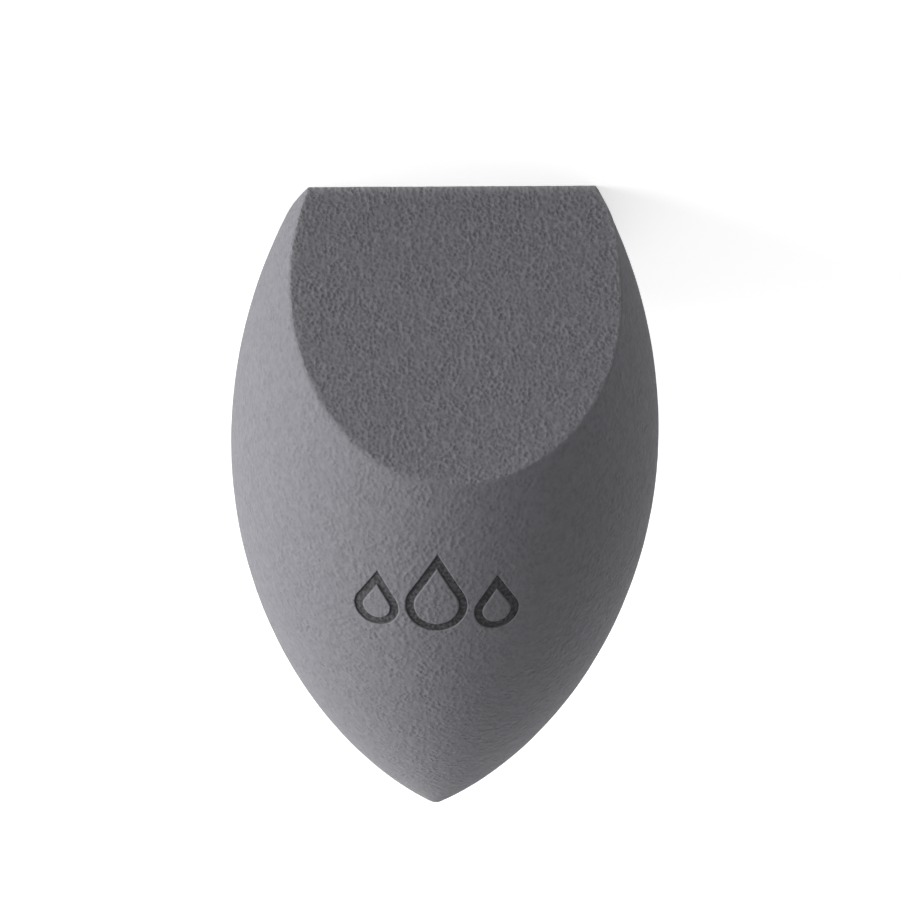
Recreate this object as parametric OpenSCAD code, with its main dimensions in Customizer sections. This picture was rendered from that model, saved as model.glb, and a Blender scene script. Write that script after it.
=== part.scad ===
// Makeup sponge: a block of soft foam turned to an almond shape, with two flat cuts that meet in a ridge
// and a small mark of three water drops pressed into its front.
// It rests on one of the two cut faces. X runs along the ridge, Y away from the other cut, Z up.

/* [Body] */
// Width at the widest plane
body_d = 40; // [34:0.5:48]
// From the widest plane to the point that the sides run to
point_reach = 38.8; // [30:0.1:46]
// From the widest plane to where the sides would meet beyond the ridge
crown_reach = 40.8; // [34:0.1:48]
// Radius of the rounded nose at the point
nose_r = 1; // [0.5:0.1:3]

/* [Cuts] */
// From the widest plane to the ridge where the two flat cuts meet
ridge_reach = 25.7; // [22:0.1:30]
// Angle between each flat cut and the long axis
cut_angle = 43.1; // [38:0.1:50]

/* [Mark] */
// From the widest plane to the middle of the mark, along the axis towards the point
mark_reach = 6.5; // [5.5:0.1:16]
// Turn of the mark about the long axis, off the middle of the front cut
mark_turn = 5.7; // [-12:0.1:12]
// Radius of the middle drop's round end
drop_r = 2.8; // [2:0.1:3.4]
// From the middle of that round end to the drop's tip
drop_reach = 5.5; // [4.2:0.1:7]
// Radius of a side drop's round end
side_drop_r = 2; // [1.6:0.1:2.6]
// From the middle of that round end to the side drop's tip
side_drop_reach = 3.9; // [3.2:0.1:5]
// Bare foam between one drop and the next
drop_gap = 0.7; // [0.4:0.1:1.5]
// Width of the drops' outline
line_w = 0.7; // [0.5:0.05:1.1]
// Depth of the pressed line below the foam's surface
press_depth = 0.3; // [0.25:0.05:0.8]
// Thickness of the dark film on the floor of the pressed line
film_t = 0.15; // [0.08:0.01:0.2]

/* [Hidden] */
$fn = 120;

// Each side of the outline is one arc, centred on the widest plane and upright where it crosses it.
body_r = body_d / 2;
function side_arc_r(reach) = (body_r * body_r + reach * reach) / body_d;
point_arc_r = side_arc_r(point_reach);
crown_arc_r = side_arc_r(crown_reach);

// The nose is a ball on the axis that touches the point side's arc from within.
// The angle is where it touches, seen from the ball's centre.
nose_z = sqrt(pow(point_arc_r - nose_r, 2) - pow(point_arc_r - body_r, 2));
nose_angle = asin(nose_z / (point_arc_r - nose_r));

// Where the crown side's arc would reach the axis.
crown_angle = asin(crown_reach / crown_arc_r);

// Short straight steps that the crown side's arc and the nose are drawn with.
crown_steps = 30;
nose_steps = 6;
nose_step = (90 - nose_angle) / nose_steps;

// How far a cut runs past what it takes off.
overrun = 0.5;

// Length of a flat cut, from the ridge to where it leaves an arc of the outline.
function cut_run(arc_r) =
    let (middle = (body_r - arc_r) * sin(cut_angle) + ridge_reach * cos(cut_angle))
    middle + sqrt(middle * middle + arc_r * arc_r - pow(arc_r - body_r, 2) - ridge_reach * ridge_reach);
cut_length = cut_run(crown_arc_r) * cos(cut_angle) < ridge_reach
    ? cut_run(crown_arc_r)
    : cut_run(point_arc_r);

// The block that makes a cut is larger than the whole sponge.
block = 2 * (point_reach + crown_reach);

// A drop's straight flanks leave its round end just inside the tangent, at this share of its radius.
flank_share = 0.99;

mark_latitude = asin(mark_reach / point_arc_r);
side_drop_x = drop_r + drop_gap + side_drop_r;
motif_top = drop_reach;
motif_low = -drop_r;

module foam_colour() { color([0.41, 0.41, 0.43]) children(); }
module film_colour() { color([0.21, 0.21, 0.22]) children(); }

// Points along an arc about a centre, from one angle to another.
function arc(centre, r, from, to, steps) = [
    for (i = [0:steps])
        let (angle = from + (to - from) * i / steps)
        [max(0, centre.x + r * cos(angle)), centre.y + r * sin(angle)]
];

// Half of the outline beyond the widest plane, towards the crown.
module crown_side() {
    polygon(concat(
        [[0, 0]],
        arc([body_r - crown_arc_r, 0], crown_arc_r, -crown_angle, 0, crown_steps)
    ));
}

// Half of the outline towards the point, at a depth below the foam's surface, with a sharp point.
module point_side(depth) {
    intersection() {
        translate([body_r - point_arc_r, 0]) circle(r = point_arc_r - depth);
        square([body_r, point_reach]);
    }
}

// What the rounding of the nose takes off the sharp point.
// Its edge starts outside the foam and crosses in to the ball.
module nose_waste() {
    start_r = nose_r + overrun;
    polygon(concat(
        [[start_r * cos(nose_angle), nose_z + start_r * sin(nose_angle)]],
        arc([0, nose_z], nose_r, nose_angle + nose_step, 90, nose_steps - 1),
        [[0, point_reach + overrun], [body_r, point_reach + overrun]]
    ));
}

// The block of foam before it is cut, with its long axis up and the point on top.
module turned_body() {
    rotate_extrude() union() {
        crown_side();
        difference() {
            point_side(0);
            nose_waste();
        }
    }
}

// The turned form on the point's side of the widest plane, at a depth below the foam's surface.
module turned_core(depth) {
    rotate_extrude() point_side(depth);
}

// Lays the long axis over, so that one cut lies on the table with its middle at the origin.
module lay_on_cut() {
    translate([0, -cut_length / 2, 0])
        rotate([cut_angle - 90, 0, 0])
            translate([0, 0, ridge_reach])
                children();
}

// What the knife takes off below the rest face, and in front of the other cut.
module cut_away() {
    translate([-block / 2, -block / 2, -block]) cube(block);
    translate([0, -cut_length / 2, 0])
        rotate([2 * cut_angle - 90, 0, 0])
            translate([-block / 2, -block, -block / 2])
                cube(block);
}

// A drop with its round end at the origin and its tip along Y, drawn in by a margin all round.
module drop(r, reach, margin) {
    round_r = r - margin;
    flank_r = flank_share * round_r;
    tip_y = reach * round_r / r;
    lean = asin(flank_r / tip_y);
    circle(r = round_r);
    polygon([
        [0, 0],
        [flank_r * cos(lean), flank_r * sin(lean)],
        [0, tip_y],
        [-flank_r * cos(lean), flank_r * sin(lean)]
    ]);
}

module drop_line(r, reach) {
    difference() {
        drop(r, reach, 0);
        drop(r, reach, line_w);
    }
}

// Three drops side by side, standing on one line, with the middle of the row's height at the origin.
module motif() {
    translate([0, -(motif_top + motif_low) / 2]) {
        drop_line(drop_r, drop_reach);
        for (side = [-1, 1])
            translate([side * side_drop_x, side_drop_r - drop_r])
                drop_line(side_drop_r, side_drop_reach);
    }
}

// The motif's outline carried straight through the foam's surface at its place on the front.
module mark_prism() {
    rotate([0, 0, mark_turn])
        translate([0, point_arc_r - body_r, 0])
            rotate([-mark_latitude, 0, 0])
                translate([0, -point_arc_r, 0])
                    rotate([90, 0, 0])
                        rotate([0, 0, 180])
                            linear_extrude(height = body_r, center = true)
                                motif();
}

module foam_body() {
    foam_colour() difference() {
        lay_on_cut() turned_body();
        cut_away();
        lay_on_cut() difference() {
            mark_prism();
            turned_core(press_depth);
        }
    }
}

module drop_mark() {
    film_colour() lay_on_cut() difference() {
        intersection() {
            mark_prism();
            turned_core(press_depth - film_t);
        }
        turned_core(press_depth);
    }
}

foam_body();
drop_mark();
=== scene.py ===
import math

import bpy
import numpy as np
from mathutils import Matrix, Vector, geometry, kdtree, noise


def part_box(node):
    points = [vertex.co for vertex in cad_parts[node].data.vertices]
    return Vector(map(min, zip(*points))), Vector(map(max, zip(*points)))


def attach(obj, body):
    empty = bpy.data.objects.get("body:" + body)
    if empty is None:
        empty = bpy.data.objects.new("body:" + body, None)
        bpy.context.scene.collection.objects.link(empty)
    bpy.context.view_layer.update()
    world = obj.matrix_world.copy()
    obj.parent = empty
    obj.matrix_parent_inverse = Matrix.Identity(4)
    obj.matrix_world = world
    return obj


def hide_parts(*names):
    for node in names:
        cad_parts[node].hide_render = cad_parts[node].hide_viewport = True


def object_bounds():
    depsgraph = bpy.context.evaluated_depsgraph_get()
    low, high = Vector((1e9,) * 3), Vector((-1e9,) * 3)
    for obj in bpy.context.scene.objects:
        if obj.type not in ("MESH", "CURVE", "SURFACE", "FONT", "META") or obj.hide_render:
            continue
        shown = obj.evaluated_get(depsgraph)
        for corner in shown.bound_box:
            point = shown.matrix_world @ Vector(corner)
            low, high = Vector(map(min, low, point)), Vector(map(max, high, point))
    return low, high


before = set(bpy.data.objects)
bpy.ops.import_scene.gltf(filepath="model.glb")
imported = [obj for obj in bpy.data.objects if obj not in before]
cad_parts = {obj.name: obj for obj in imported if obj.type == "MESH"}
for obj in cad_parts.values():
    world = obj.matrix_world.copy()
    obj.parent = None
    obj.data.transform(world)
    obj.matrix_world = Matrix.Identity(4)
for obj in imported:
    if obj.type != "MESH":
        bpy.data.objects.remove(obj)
cad_low, cad_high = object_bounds()
MM = 0.001

# Sizes of the foam, in millimetres and degrees
foam_low, foam_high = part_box("foam_body")
body_r = foam_high.x / MM
cut_length = -2 * foam_low.y / MM
point_reach = 38.8
crown_reach = 40.8
nose_r = 1.0
ridge_reach = 25.7
cut_angle = math.radians(43.1)

# Widths over which the ridge and the rims are rounded, and how far from the ridge a rim has its full width
ridge_soft = 0.08
rim_soft = 0.20
soft_reach = 6.0

# How the front cut strays outwards from its plane: a slope away from the ridge and a bend, each with what
# the photograph's right adds to it. The bend moves nothing at the ridge or at this reach.
stray_slope, stray_slope_right = -0.17, -0.17
stray_bend, stray_bend_right = 0.27, 0.35
stray_reach = 15.0

# How far the foam flares out at the front cut's rim, on the photograph's right, how far from the ridge it
# flares most, how far the flare reaches along the rim from there, and how deep behind the cut
flare_most = 0.46
flare_middle = 3.2
flare_reach = 3.2
flare_deep = 1.3

# Sizes of the mark
mark_reach = 6.5
mark_turn = math.radians(5.7)
drop_r = 2.8
drop_reach = 5.5
side_drop_r = 2.0
side_drop_reach = 3.9
drop_gap = 0.7
line_w = 0.7
press_depth = 0.3

# Width of a pressed line's wall, and how far below the mark's middle the foam no longer carries it
wall_w = 0.12
mark_below = 5

# Spacing of the mesh's points, and the rows that run beside a rim, the ridge or an edge of a pressed line
rim_spacing = 0.15
rim_rows = (0.05, 0.12, 0.21, 0.32)
front_spacing = 0.21
rest_spacing = 0.32
skin_spacing = 0.32
mark_spacing = 0.13
mark_rows_inward = (-0.16, -wall_w / 2, 0, wall_w / 2, 0.14)

# How close points may come: anywhere, as a share of a row's offset, and as a share of the spacing
least_gap = 0.05
row_gap_share = 0.9
spread_gap_share = 0.7

# How far points are moved at random, as a share of the spacing, and the fewest points in a ring
cut_jitter_share = 0.18
ring_jitter_share = 0.15
ring_least = 5
random_seed = 7
random = np.random.RandomState(random_seed)

# Steps that the curves are drawn with before their points are spread, and how far the outline runs past
# the ridge
side_steps = 6000
nose_steps = 1000
rim_steps = 1500
round_steps = 200
outline_overrun = 1.0

# Passes that bring points to rest on a surface, and a length that counts as nothing
settle_passes = 4
edge_passes = 20
mark_passes = 6
tiny = 1e-9

# The outline of the turned body: an arc each side of the widest plane, and a ball at the point
point_arc_r = (body_r ** 2 + point_reach ** 2) / (2 * body_r)
crown_arc_r = (body_r ** 2 + crown_reach ** 2) / (2 * body_r)
nose_z = math.sqrt((point_arc_r - nose_r) ** 2 - (point_arc_r - body_r) ** 2)
nose_angle = math.asin(nose_z / (point_arc_r - nose_r))
nose_touch_z = nose_z + nose_r * math.sin(nose_angle)

# The two cuts, by the way along Y that they face
FRONT, REST = -1, 1
cut_sin, cut_cos = math.sin(cut_angle), math.cos(cut_angle)


def from_ridge(p):
    return np.hypot(p[:, 1], p[:, 2] + ridge_reach)


def to_right(p):
    """How far points lie to the photograph's right, as a share of the stray's reach."""
    return -p[:, 0] / stray_reach


def stray(p):
    """How far outside its plane the front cut lies at points on it, where the foam gave under the knife."""
    right = to_right(p)
    away = from_ridge(p) / stray_reach
    slope = stray_slope + stray_slope_right * right
    bend = stray_bend + stray_bend_right * right
    return away * (slope + bend * (away - 1))


def cut_normal(side):
    return np.array([0, side * cut_cos, -cut_sin])


def cut_distance(p, side):
    """Distance from points to one cut, and the outward normal of its plane."""
    normal = cut_normal(side)
    distance = p @ normal - cut_sin * ridge_reach
    if side == FRONT:
        distance -= stray(p)
    return distance, np.tile(normal, (len(p), 1))


def outside_cuts(p):
    """How far outside the cuts points lie, which is below zero within the foam."""
    return np.maximum(cut_distance(p, FRONT)[0], cut_distance(p, REST)[0])


def flare(p):
    """How far the foam stands out of the turned form at points beside the front cut's rim."""
    right = np.clip(to_right(p), 0, 1)
    along = (from_ridge(p) - flare_middle) / flare_reach
    behind = np.maximum(-cut_distance(p, FRONT)[0], 0)
    return flare_most * right * np.exp(-along ** 2 - behind / flare_deep)


def skin_distance(p):
    """Distance from points to the skin, and the turned form's outward normal there."""
    r = np.hypot(p[:, 0], p[:, 1])
    z = p[:, 2]
    on_nose = z - nose_z > r * math.tan(nose_angle)
    arc_r = np.where(on_nose, nose_r, np.where(z > 0, point_arc_r, crown_arc_r))
    out = r - np.where(on_nose, 0, body_r - arc_r)
    up = z - np.where(on_nose, nose_z, 0)
    length = np.hypot(out, up)
    around = p[:, :2] / np.maximum(r, tiny)[:, None]
    normal = np.column_stack([around * (out / length)[:, None], up / length])
    return length - arc_r - flare(p), normal


def edge_soft(p):
    """Width over which an edge is rounded: sharp at the ridge, softer along the rims."""
    return ridge_soft + (rim_soft - ridge_soft) * np.clip(from_ridge(p) / soft_reach, 0, 1)


def soft_larger(first, second, width):
    """The larger of two distances with its normal, rounded where they are within a width of each other."""
    share = np.clip(0.5 + 0.5 * (first[0] - second[0]) / width, 0, 1)
    distance = second[0] + (first[0] - second[0]) * share + width * share * (1 - share)
    normal = first[1] * share[:, None] + second[1] * (1 - share)[:, None]
    return distance, normal


def foam_distance(p):
    """Distance from points to the foam's surface with its rounded edges, and its outward normal."""
    width = edge_soft(p)
    cuts = soft_larger(cut_distance(p, FRONT), cut_distance(p, REST), width)
    return soft_larger(skin_distance(p), cuts, width)


def settle(p, distance_to, passes=settle_passes):
    """Moves points onto the surface that a distance belongs to."""
    for _ in range(passes):
        distance, normal = distance_to(p)
        p = p - normal * (distance / (normal ** 2).sum(1))[:, None]
    return p


def skin_radius(z):
    arc_r = np.where(z > 0, point_arc_r, crown_arc_r)
    side = body_r - arc_r + np.sqrt(arc_r ** 2 - z ** 2)
    nose = np.sqrt(np.maximum(nose_r ** 2 - (z - nose_z) ** 2, 0))
    return np.where(z > nose_touch_z, nose, side)


def outline():
    """Heights, radii and lengths along the outline, from the point to a little past the ridge."""
    nose = nose_z + nose_r * np.sin(np.linspace(math.pi / 2, nose_angle, nose_steps))
    side = np.linspace(nose_touch_z, -ridge_reach - outline_overrun, side_steps)[1:]
    z = np.concatenate([nose, side])
    r = skin_radius(z)
    r[0] = 0
    length = np.concatenate([[0], np.cumsum(np.hypot(np.diff(r), np.diff(z)))])
    return z, r, length


outline_z, outline_r, outline_length = outline()


def flat_skin(p):
    """Lays the skin out flat, seen from the point, with every small shape keeping its angles."""
    step = np.diff(outline_length) / ((outline_r[1:] + outline_r[:-1]) / 2)
    spread = np.concatenate([[0], np.cumsum(step[1:])])
    radius = np.exp(spread - spread[-1]) * body_r
    r = np.interp(-p[:, 2], -outline_z[1:], radius)
    r = np.where(np.hypot(p[:, 0], p[:, 1]) < tiny, 0, r)
    angle = np.arctan2(p[:, 1], p[:, 0])
    return np.column_stack([r * np.cos(angle), r * np.sin(angle)])


def flat_cut(p):
    """Lays a cut out flat: along the ridge, and away from it."""
    return np.column_stack([p[:, 0], from_ridge(p)])


def on_cut(flat, side):
    """Carries points that were laid out flat back to the plane of one cut."""
    return np.column_stack([flat[:, 0], side * flat[:, 1] * cut_sin, flat[:, 1] * cut_cos - ridge_reach])


def unit(v):
    return v / np.linalg.norm(v, axis=1)[:, None]


def even(points, spacing):
    """Spreads points evenly along a line."""
    length = np.concatenate([[0], np.cumsum(np.linalg.norm(np.diff(points, axis=0), axis=1))])
    places = np.linspace(0, length[-1], round(length[-1] / spacing) + 1)
    return np.column_stack([np.interp(places, length, points[:, k]) for k in range(points.shape[1])])


def away_from(points, kept, gap):
    """The points that lie at least a gap from every kept one."""
    tree = kdtree.KDTree(len(kept))
    for index, place in enumerate(kept):
        tree.insert(place, index)
    tree.balance()
    return points[np.array([tree.find(place)[2] >= gap for place in points], bool)]


def gather(rows, kept):
    """Joins rows of points, each without the points that crowd the kept ones or an earlier row."""
    added = np.empty((0, 3))
    for row in rows:
        row = away_from(row, np.concatenate([kept, added]), least_gap)
        added = np.concatenate([added, row])
    return added


def rim(side):
    """The rim of one cut, from one end of the ridge to the other, without the two ends."""
    turn = np.linspace(0, math.pi / 2, rim_steps)
    away = cut_length * np.sin(turn)
    half = skin_radius(away * cut_cos - ridge_reach) ** 2 - (away * cut_sin) ** 2
    x = np.sqrt(np.maximum(half, 0))
    half_rim = np.column_stack([x, away])
    flat = np.concatenate([half_rim, (half_rim * (-1, 1))[-2::-1]])
    line = on_cut(even(flat, rim_spacing), side)[1:-1]
    for _ in range(edge_passes):
        line = settle(line, lambda p: cut_distance(p, side), passes=1)
        line = settle(line, skin_distance, passes=1)
    return line


def ridge():
    """The ridge, from the photograph's right end to its left one. Both ends lie on the skin."""
    ends = np.array([[-body_r, 0, -ridge_reach], [body_r, 0, -ridge_reach]])
    for _ in range(edge_passes):
        ends[:, 0] -= np.sign(ends[:, 0]) * skin_distance(ends)[0]
    return even(ends, rim_spacing)


def rows_beside(line, inward, boundary, distance_to):
    """Rows of points on a surface that run beside a line, further and further in."""
    rows = []
    for offset in rim_rows:
        row = settle(line + inward * offset, distance_to)
        rows.append(away_from(row, boundary, row_gap_share * offset))
    return rows


def row_rise(spacing):
    """How far apart rows lie whose points make even triangles."""
    return spacing * math.sqrt(3) / 2


def cut_points(side, spacing, boundary):
    """Points inside one cut face: rows along its edges, and an even jittered spread between them."""
    loop = np.concatenate([boundary, boundary[:1]])
    along = unit(loop[1:] - loop[:-1])
    along = unit(along + np.roll(along, 1, axis=0))
    inward = np.cross(cut_normal(side), along)
    middle = on_cut(np.array([[0, cut_length / 2]]), side)
    inward *= np.sign(((middle - boundary) * inward).sum(1))[:, None]
    rows = gather(rows_beside(boundary, inward, boundary, lambda p: cut_distance(p, side)), boundary)
    across = np.arange(-body_r, body_r, spacing)
    away = np.arange(0, cut_length, row_rise(spacing))
    grid = np.array([[x + spacing / 2 * (row % 2), v] for row, v in enumerate(away) for x in across])
    grid += random.uniform(-cut_jitter_share, cut_jitter_share, grid.shape) * spacing
    spread = settle(on_cut(grid, side), lambda p: cut_distance(p, side))
    spread = spread[skin_distance(spread)[0] < -rim_rows[-1] / 2]
    spread = away_from(spread, np.concatenate([boundary, rows]), spread_gap_share * spacing)
    return np.concatenate([rows, spread])


def skin_rows(line, side, boundary):
    """Rows of points on the skin beside one rim."""
    along = unit(np.gradient(line, axis=0))
    normal = skin_distance(line)[1]
    inward = np.cross(normal, along)
    inward *= -np.sign((inward * cut_distance(line, side)[1]).sum(1))[:, None]
    return rows_beside(line, inward, boundary, skin_distance)


def skin_points(boundary, rows):
    """Points on the skin between its rims, in jittered rings about the axis."""
    rings = [np.array([[0, 0, outline_z[0]]])]
    for place in np.arange(skin_spacing, outline_length[-1], row_rise(skin_spacing)):
        r = np.interp(place, outline_length, outline_r)
        z = np.interp(place, outline_length, outline_z)
        count = max(ring_least, round(2 * math.pi * r / skin_spacing))
        turn = (np.arange(count) + random.uniform(0, 1)) * 2 * math.pi / count
        turn += random.uniform(-ring_jitter_share, ring_jitter_share, count) * 2 * math.pi / count
        rings.append(np.column_stack([r * np.cos(turn), r * np.sin(turn), np.full(count, z)]))
    spread = settle(np.concatenate(rings), skin_distance)
    spread = spread[outside_cuts(spread) < -least_gap]
    return away_from(spread, np.concatenate([boundary, rows]), spread_gap_share * skin_spacing)


# The mark's own frame: its X and Y lie on the skin, and its Z points out of it
mark_latitude = math.asin(mark_reach / point_arc_r)
mark_frame = (
    Matrix.Rotation(mark_turn, 4, "Z")
    @ Matrix.Translation((0, point_arc_r - body_r, 0))
    @ Matrix.Rotation(-mark_latitude, 4, "X")
    @ Matrix.Translation((0, -point_arc_r, 0))
    @ Matrix.Rotation(math.pi / 2, 4, "X")
    @ Matrix.Rotation(math.pi, 4, "Z")
)
mark_turned = np.array(mark_frame.to_3x3())
mark_origin = np.array(mark_frame.translation)

# Each drop: the middle of its round end, across and up, its radius, and its reach from there to its tip
side_drop_x = drop_r + drop_gap + side_drop_r
motif_middle = (drop_reach - drop_r) / 2
side_drop_y = side_drop_r - drop_r - motif_middle
drops = [
    (0, -motif_middle, drop_r, drop_reach),
    (-side_drop_x, side_drop_y, side_drop_r, side_drop_reach),
    (side_drop_x, side_drop_y, side_drop_r, side_drop_reach),
]


def drop_line(x, y, r, reach, margin):
    """Points along the outline of one drop, drawn in by a margin, in the mark's frame."""
    lean = math.asin(r / reach)
    round_r = r - margin
    turn = np.linspace(lean, -math.pi - lean, round_steps)
    tip = [[0, reach * round_r / r]]
    round_end = np.column_stack([round_r * np.cos(turn), round_r * np.sin(turn)])
    return even(np.concatenate([tip, round_end, tip]), mark_spacing)[:-1] + (x, y)


def mark_on_skin(flat):
    """Carries points of the mark straight on to the skin."""
    p = np.column_stack([flat, np.zeros(len(flat))]) @ mark_turned.T + mark_origin
    out = mark_turned[:, 2]
    for _ in range(mark_passes):
        distance, normal = skin_distance(p)
        p = p - out * (distance / (normal @ out))[:, None]
    return p


def mark_rows():
    """Rows of points on the skin along both edges of every pressed line."""
    margins = [edge + inward * step for edge, inward in ((0, 1), (line_w, -1)) for step in mark_rows_inward]
    return [mark_on_skin(drop_line(*drop, margin)) for drop in drops for margin in margins]


def drop_margin(flat, x, y, r, reach):
    """How far in from the outline of one drop points of the mark's frame lie."""
    across = np.abs(flat[:, 0] - x)
    up = flat[:, 1] - y
    lean = math.asin(r / reach)
    flank = across * math.cos(lean) + up * math.sin(lean)
    return r - np.where(up > across * math.tan(lean), flank, np.hypot(across, up))


def pressed(p):
    """How deep each point is pressed in, from 0 to 1, by the outlines of the drops."""
    flat = (p - mark_origin) @ mark_turned
    depth = np.zeros(len(p))
    for drop in drops:
        margin = drop_margin(flat, *drop)
        inside = np.minimum(margin, line_w - margin) / wall_w + 0.5
        depth = np.maximum(depth, np.clip(inside, 0, 1))
    return np.where(flat[:, 2] > -mark_below, depth ** 2 * (3 - 2 * depth), 0)


def triangles(flat, boundary_count):
    """Triangles between points laid out flat, inside the loop that the first of them make."""
    loop = list(range(boundary_count))
    only_inside, least_step = 1, 1e-7
    made = geometry.delaunay_2d_cdt([Vector(place) for place in flat], [], [loop], only_inside, least_step)
    faces, origins = made[2:4]
    return [[origins[corner][0] for corner in face] for face in faces]


def foam_mesh():
    """Points of the whole foam, its triangles, and how many of these are on the skin."""
    ridge_line = ridge()
    rims = {side: rim(side) for side in (FRONT, REST)}
    edge = np.concatenate([ridge_line, rims[FRONT], rims[REST]])
    ridge_index = np.arange(len(ridge_line))
    front_index = len(ridge_line) + np.arange(len(rims[FRONT]))
    rest_index = front_index[-1] + 1 + np.arange(len(rims[REST]))

    rows = skin_rows(rims[FRONT], FRONT, edge) + skin_rows(rims[REST], REST, edge)
    rows = gather(rows + mark_rows(), edge)
    points = np.concatenate([edge, rows, skin_points(edge, rows)])
    loop_index = np.concatenate([ridge_index[-1:], rest_index, ridge_index[:1], front_index[::-1]])
    index = np.concatenate([loop_index, np.arange(len(edge), len(points))])
    faces = [[index[c] for c in face] for face in triangles(flat_skin(points[index]), len(loop_index))]
    skin_count = len(faces)

    for side, rim_index, spacing in ((FRONT, front_index, front_spacing), (REST, rest_index, rest_spacing)):
        loop_index = np.concatenate([ridge_index, rim_index])
        inner = cut_points(side, spacing, points[loop_index])
        index = np.concatenate([loop_index, len(points) + np.arange(len(inner))])
        points = np.concatenate([points, inner])
        made = triangles(flat_cut(points[index]), len(loop_index))
        faces += [[index[c] for c in (face if side == FRONT else face[::-1])] for face in made]
    return points, faces, skin_count


# Relief of the foam's surface: how high the noise stands and how far apart its bumps lie
skin_relief, skin_cell = 0.012, 0.75
cut_relief, cut_cell = 0.022, 0.5
wander_relief, wander_cell = 0.02, 4.0


def cut_share(p):
    """How far points lie on a cut rather than on the skin, from 0 to 1."""
    return np.clip(0.5 + (outside_cuts(p) - skin_distance(p)[0]) / edge_soft(p), 0, 1)


def relief(p, cell):
    """Smooth noise at points, with bumps a cell apart."""
    return np.array([noise.noise(Vector(place) / cell) for place in p])


def textured(p):
    """Gives the foam its soft edges, its grain and the pressed outlines of the drops.

    The grain is lowered a little, so that it hardly stands out past the solid.
    """
    depth = pressed(p) * press_depth
    share = cut_share(p)
    p = settle(p, foam_distance)
    normal = unit(foam_distance(p)[1])
    skin_grain = skin_relief * relief(p, skin_cell)
    cut_grain = cut_relief * relief(p, cut_cell)
    wander = wander_relief * relief(p, wander_cell)
    grain = skin_grain * (1 - share) + cut_grain * share + wander - skin_relief
    return p + normal * grain[:, None] - depth[:, None] * mark_turned[:, 2]


# The pale edge is a painted highlight along the rounded ridge and rims, and partly frayed foam
# How far a cut is painted pale from the ridge and from its rim, how pale the rim is, and how far from the
# ridge
ridge_highlight_and_fray = 0.35
rim_highlight_and_fray = 0.25
rim_highlight_and_wear = 0.6
highlight_and_wear_reach = 14.0


def worn_share(p):
    """How pale a cut is painted at points on it, as a painted highlight and partly frayed foam: most at the
    ridge, and along its rim by the ridge.
    """
    from_rim = np.maximum(-skin_distance(p)[0], 0)
    rim_share = rim_highlight_and_wear * np.exp(-from_rim / rim_highlight_and_fray - from_ridge(p) / highlight_and_wear_reach)
    return np.maximum(np.exp(-from_ridge(p) / ridge_highlight_and_fray), rim_share)


# Colours, as linear shares of red, green and blue
# The foam's colours: it is mixed between them by random tone and flecks, and by painted shade in its pores
# and hollows
foam_pale = (0.245, 0.241, 0.262)
foam_dark = (0.145, 0.143, 0.157)
# Pale colour painted on a cut's edges: a painted highlight, and partly frayed foam
highlight_and_fray_colour = (0.42, 0.415, 0.43)
film_pale = (0.085, 0.084, 0.090)
film_dark = (0.045, 0.045, 0.048)
floor_colour = (0.80, 0.80, 0.80)
white = (1, 1, 1)

# Grain of the foam: how far apart its pores, bumps, flecks and broad bumps lie, and how strong they are
pore_cell, pore_share = 0.38, 0.7
bump_cell, bump_share = 0.31, 0.4
fleck_cell, fleck_share = 0.25, 0.45
broad_cell, broad_share = 0.8, 0.4
grain_middle = 0.5
# Over this reach of the grain about its middle, the foam is painted darker where the grain is low, as shade
# in its pores and hollows
grain_limit = 0.25

# Where the grain is strong: how far apart its patches lie, the noise at which they begin and end, and how
# much grain is left between them
patch_cell = 1.6
patch_start, patch_end = 0.35, 0.65
patch_low = 0.5

# How far apart the foam's lighter and darker places and its open cells lie, and how far from its middle an
# open cell stays fully in painted shade and where that shade ends, as shares of the latter
tone_cell = 0.8
open_cell = 0.95
open_dark, open_end = 0.10, 0.24

# Gloss of the foam, how far the painted highlight along the knife's edges colours it, and how far the film's
# stain does
foam_rough = 0.95
foam_specular = 0.15
foam_sheen, foam_sheen_rough = 0.08, 0.6
highlight_and_fray_mix = 0.9
stain_start, stain_full = 0.02, 0.4

# The film: how far apart its darker places lie, the noise at which they begin and end, its bumps and gloss
film_cell = 0.3
film_start, film_end = 0.3, 0.7
film_bump = 0.10
film_rough = 0.85
film_specular = 0.2

# The floor: half its width, its roughness, what counts as near the object and far from it, and how bright
# the floor looks there
floor_half = 1500
floor_rough = 0.9
glow_near, glow_far = 60, 400
glow_low, glow_high = 0.60, 0.95


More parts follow.
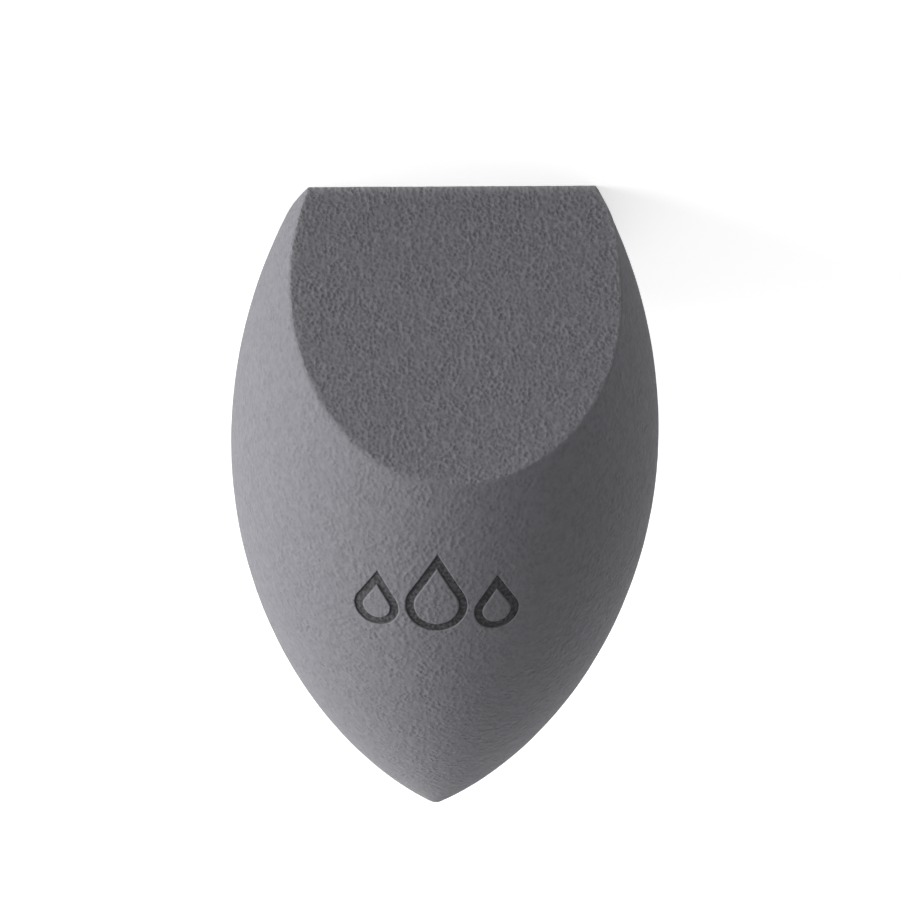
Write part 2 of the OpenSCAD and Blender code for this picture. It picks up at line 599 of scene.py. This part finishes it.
class Nodes:
    """The node tree of a material or of the world, with a short way to add and join nodes."""

    def __init__(self, owner, shader="Principled BSDF"):
        owner.use_nodes = True
        self.owner = owner
        self.tree = owner.node_tree
        self.shader = self.tree.nodes[shader]

    def add(self, kind, settings=None, **inputs):
        node = self.tree.nodes.new("ShaderNode" + kind)
        for key, value in (settings or {}).items():
            setattr(node, key, value)
        for key, value in inputs.items():
            self.set(node, key.replace("_", " "), value)
        return node

    def set(self, node, key, value):
        socket = node.inputs[int(key)] if key.isdigit() else node.inputs[key]
        if isinstance(value, bpy.types.NodeSocket):
            self.tree.links.new(value, socket)
        else:
            socket.default_value = value

    def set_shader(self, **values):
        """Sets the shader's own sockets."""
        for key, value in values.items():
            self.set(self.shader, key.replace("_", " "), value)

    def millimetres(self):
        """Places on the object, in millimetres."""
        place = self.add("TexCoord").outputs["Object"]
        return self.add("Mapping", Vector=place, Scale=(1 / MM, 1 / MM, 1 / MM)).outputs[0]

    def noise(self, place, cell, detail=0):
        return self.add("TexNoise", Vector=place, Scale=1 / cell, Detail=detail).outputs["Fac"]

    def cells(self, place, cell):
        return self.add("TexVoronoi", Vector=place, Scale=1 / cell).outputs

    def math(self, operation, *values):
        node = self.add("Math", {"operation": operation})
        for index, value in enumerate(values):
            self.set(node, str(index), value)
        return node.outputs[0]

    def centred(self, value):
        """A texture's value as grain, above and below zero."""
        return self.math("SUBTRACT", value, grain_middle)

    def remap(self, value, low, high, to_low=0, to_high=1, kind="SMOOTHSTEP"):
        node = self.add("MapRange", {"interpolation_type": kind}, Value=value)
        for key, number in zip(("From Min", "From Max", "To Min", "To Max"), (low, high, to_low, to_high)):
            self.set(node, key, number)
        return node.outputs[0]

    def mix(self, share, first, second):
        """Mixes two colours, at the node's colour sockets. Each is three numbers, or from another node."""
        node = self.add("Mix", {"data_type": "RGBA"})
        self.set(node, "0", share)
        for key, colour in (("6", first), ("7", second)):
            self.set(node, key, (*colour, 1) if isinstance(colour, tuple) else colour)
        return node.outputs[2]

    def bump(self, height, reach):
        return self.add("Bump", Height=height, Distance=reach * MM).outputs[0]

    def tint(self, attribute, low, high, share, colour):
        """Mixes a colour into the base colour by how far an attribute of the mesh is from low to high."""
        reached = self.add("Attribute", {"attribute_name": attribute}).outputs["Fac"]
        under = self.shader.inputs["Base Color"].links[0].from_socket
        share = self.remap(reached, low, high, 0, share, "LINEAR")
        self.set_shader(Base_Color=self.mix(share, under, colour))

    def seen(self):
        """1 for what the camera sees, also in a mirror or through glass, and 0 for all other light."""
        rays = self.add("LightPath").outputs
        mirrored = self.math("MAXIMUM", rays["Is Camera Ray"], rays["Is Glossy Ray"])
        return self.math("MAXIMUM", mirrored, rays["Is Transmission Ray"])


def foam_material(name, coarse, height, mottle_and_pit_shade, tone, open_shade):
    """Soft matte foam: fine pores and flecks, uneven in patches, on broader bumps, with painted shade in its
    low places and a few open cells.
    """
    n = Nodes(bpy.data.materials.new(name))
    place = n.millimetres()
    patches = n.remap(n.noise(place, patch_cell, detail=1), patch_start, patch_end, patch_low, 1)
    pores = n.centred(n.cells(place, pore_cell * coarse)["Distance"])
    bumps = n.centred(n.noise(place, bump_cell * coarse))
    flecks = n.centred(n.cells(place, fleck_cell * coarse)["Color"])
    fine = n.math("MULTIPLY_ADD", pores, pore_share, n.math("MULTIPLY", bumps, bump_share))
    grain = n.math("MULTIPLY", n.math("MULTIPLY_ADD", flecks, fleck_share, fine), patches)
    # Painted shade: the colour is darker where the grain is low, in pores and hollows, and paler where it is
    # high; random flecks and tone add to it
    shade = n.remap(grain, -grain_limit, grain_limit, 0.5 + mottle_and_pit_shade, 0.5 - mottle_and_pit_shade)
    shade = n.math("MULTIPLY_ADD", n.centred(n.noise(place, tone_cell)), tone, shade)
    # Painted shade inside a few open cells
    painted_pore_shade = n.remap(n.cells(place, open_cell)["Distance"], open_dark, open_end, open_shade, 0)
    relief = n.math("MULTIPLY_ADD", n.noise(place, broad_cell), broad_share, grain)
    n.set_shader(
        Base_Color=n.mix(n.math("ADD", shade, painted_pore_shade), foam_pale, foam_dark),
        Normal=n.bump(relief, height),
        Roughness=foam_rough,
        Specular_IOR_Level=foam_specular,
        Sheen_Weight=foam_sheen,
        Sheen_Roughness=foam_sheen_rough,
    )
    return n


def foam_skin_material():
    """Fine foam, stained by the film on the walls of the pressed lines."""
    n = foam_material("foam_skin", coarse=1.15, height=0.125, mottle_and_pit_shade=0.10, tone=0.35, open_shade=0.15)
    n.tint("pressed", stain_start, stain_full, 1, film_pale)
    return n.owner


def foam_cut_material():
    """Coarser foam, painted paler along the edges that the knife left, as a highlight there and partly
    frayed foam.
    """
    n = foam_material("foam_cut", coarse=1, height=0.165, mottle_and_pit_shade=0.30, tone=0, open_shade=0)
    n.tint("highlight_and_fray", 0, 1, highlight_and_fray_mix, highlight_and_fray_colour)
    return n.owner


def film_material():
    """Dark film sunk into the foam, through which its grain still shows."""
    n = Nodes(bpy.data.materials.new("mark_film"))
    grain = n.noise(n.millimetres(), film_cell)
    n.set_shader(
        Base_Color=n.mix(n.remap(grain, film_start, film_end, 1, 0), film_pale, film_dark),
        Normal=n.bump(grain, film_bump),
        Roughness=film_rough,
        Specular_IOR_Level=film_specular,
    )
    return n.owner


def floor_material():
    """A pale floor that the camera sees as white. It glows less near the object, which keeps its shadow."""
    n = Nodes(bpy.data.materials.new("floor"))
    away = n.add("VectorMath", {"operation": "LENGTH"}, Vector=n.millimetres()).outputs["Value"]
    glow = n.remap(away, glow_near, glow_far, glow_low, glow_high)
    n.set_shader(
        Base_Color=(*floor_colour, 1),
        Roughness=floor_rough,
        Specular_IOR_Level=0,
        Emission_Color=(*white, 1),
        Emission_Strength=n.math("MULTIPLY", n.seen(), glow),
    )
    return n.owner


def lay_on_cut():
    """From the turned frame in millimetres to the part's own frame in metres."""
    return (
        Matrix.Scale(MM, 4)
        @ Matrix.Translation((0, -cut_length / 2, 0))
        @ Matrix.Rotation(cut_angle - math.pi / 2, 4, "X")
        @ Matrix.Translation((0, 0, ridge_reach))
    )


def link(name, data):
    piece = bpy.data.objects.new(name, data)
    bpy.context.collection.objects.link(piece)
    return piece


def foam_piece():
    points, faces, skin_count = foam_mesh()
    mesh = bpy.data.meshes.new("sponge")
    mesh.from_pydata([Vector(place) for place in textured(points)], [], faces)
    mesh.transform(lay_on_cut())
    mesh.materials.append(foam_skin_material())
    mesh.materials.append(foam_cut_material())
    mesh.polygons.foreach_set("material_index", [int(k >= skin_count) for k in range(len(faces))])
    # A cut's pale edges are a painted highlight, and partly frayed foam
    mesh.attributes.new("highlight_and_fray", "FLOAT", "POINT").data.foreach_set("value", worn_share(points))
    mesh.attributes.new("pressed", "FLOAT", "POINT").data.foreach_set("value", pressed(points))
    mesh.shade_smooth()
    return link("sponge", mesh)


def floor_piece():
    half = floor_half * MM
    mesh = bpy.data.meshes.new("floor")
    corners = [(-half, -half, 0), (half, -half, 0), (half, half, 0), (-half, half, 0)]
    mesh.from_pydata(corners, [], [(0, 1, 2, 3)])
    mesh.materials.append(floor_material())
    return link("floor", mesh)


# The photograph's camera, in pixels, millimetres and degrees: where the photograph shows the middle of the
# widest plane, the radius of that plane there, and the camera's turns. Their axes are X to the right, Y away
# and Z towards the ridge. The photograph was turned by half a turn about Y.
photo_size = 900
photo_middle = (photo_size - 1) / 2
photo_centre_x, photo_centre_y = 444.28, 438.33
widest_radius = 213.63
photo_scale = body_r / widest_radius
yaw, pitch, roll = (math.radians(angle) for angle in (4.64, 25.35, 1.50))
camera_distance = 600
camera_sight = 10000
sensor = 36


def camera_turn():
    """The camera's right, away and up directions, in the part's frame."""
    turn = Matrix.Rotation(roll, 3, "Y") @ Matrix.Rotation(pitch, 3, "X") @ Matrix.Rotation(yaw, 3, "Z")
    to_part = Matrix.Rotation(cut_angle - math.pi / 2, 3, "X") @ Matrix.Diagonal((-1, 1, -1))
    return to_part @ turn.transposed()


def make_camera():
    right, away, up = camera_turn().col
    widest = lay_on_cut() @ Vector((0, 0, 0))
    aside = (photo_middle - photo_centre_x) * photo_scale * MM
    above = (photo_centre_y - photo_middle) * photo_scale * MM
    data = bpy.data.cameras.new("camera")
    data.sensor_width = sensor
    data.lens = sensor * camera_distance / (photo_size * photo_scale)
    data.clip_end = camera_sight * MM
    place = widest + right * aside + up * above - away * camera_distance * MM
    camera = link("camera", data)
    camera.matrix_world = Matrix.Translation(place) @ Matrix((right, up, -away)).transposed().to_4x4()
    bpy.context.scene.camera = camera


# The light: two soft lamps to the photograph's left, two weak ones behind and plain light all round
lamp_distance = 500
lamp_size = 300
world_light = 0.285


def make_lamp(name, to_lamp, strength):
    """A square soft lamp, placed by its direction in the photograph: right, away and up.

    A strength of 1 makes a white face that is turned to the lamp look white.
    """
    direction = (camera_turn() @ Vector(to_lamp)).normalized()
    data = bpy.data.lights.new(name, "AREA")
    data.size = lamp_size * MM
    data.energy = strength * (lamp_distance * MM) ** 2 * math.pi * math.pi
    middle = (cad_low + cad_high) / 2
    turned = (-direction).to_track_quat("-Z", "Y").to_matrix().to_4x4()
    lamp = link(name, data)
    lamp.matrix_world = Matrix.Translation(middle + direction * lamp_distance * MM) @ turned


def make_world():
    """Plain light all round, which the camera sees as white."""
    n = Nodes(bpy.data.worlds.new("world"), "Background")
    n.set_shader(Color=(*white, 1), Strength=n.remap(n.seen(), 0, 1, world_light, 1, "LINEAR"))
    bpy.context.scene.world = n.owner


make_camera()
make_lamp("key", to_lamp=(-1, 0, 0), strength=1.53)
make_lamp("front_key", to_lamp=(-0.86, -0.51, 0), strength=0.81)
make_lamp("back", to_lamp=(0, 0.71, -0.71), strength=0.41)
make_lamp("far_side", to_lamp=(0.7, 0.4, -0.6), strength=0.17)
make_world()

floor = floor_piece()

sponge = foam_piece()
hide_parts("foam_body")
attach(sponge, "root")

mark_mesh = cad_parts["drop_mark"].data
mark_mesh.materials.clear()
mark_mesh.materials.append(film_material())

bpy.context.scene.view_settings.view_transform = "Standard"
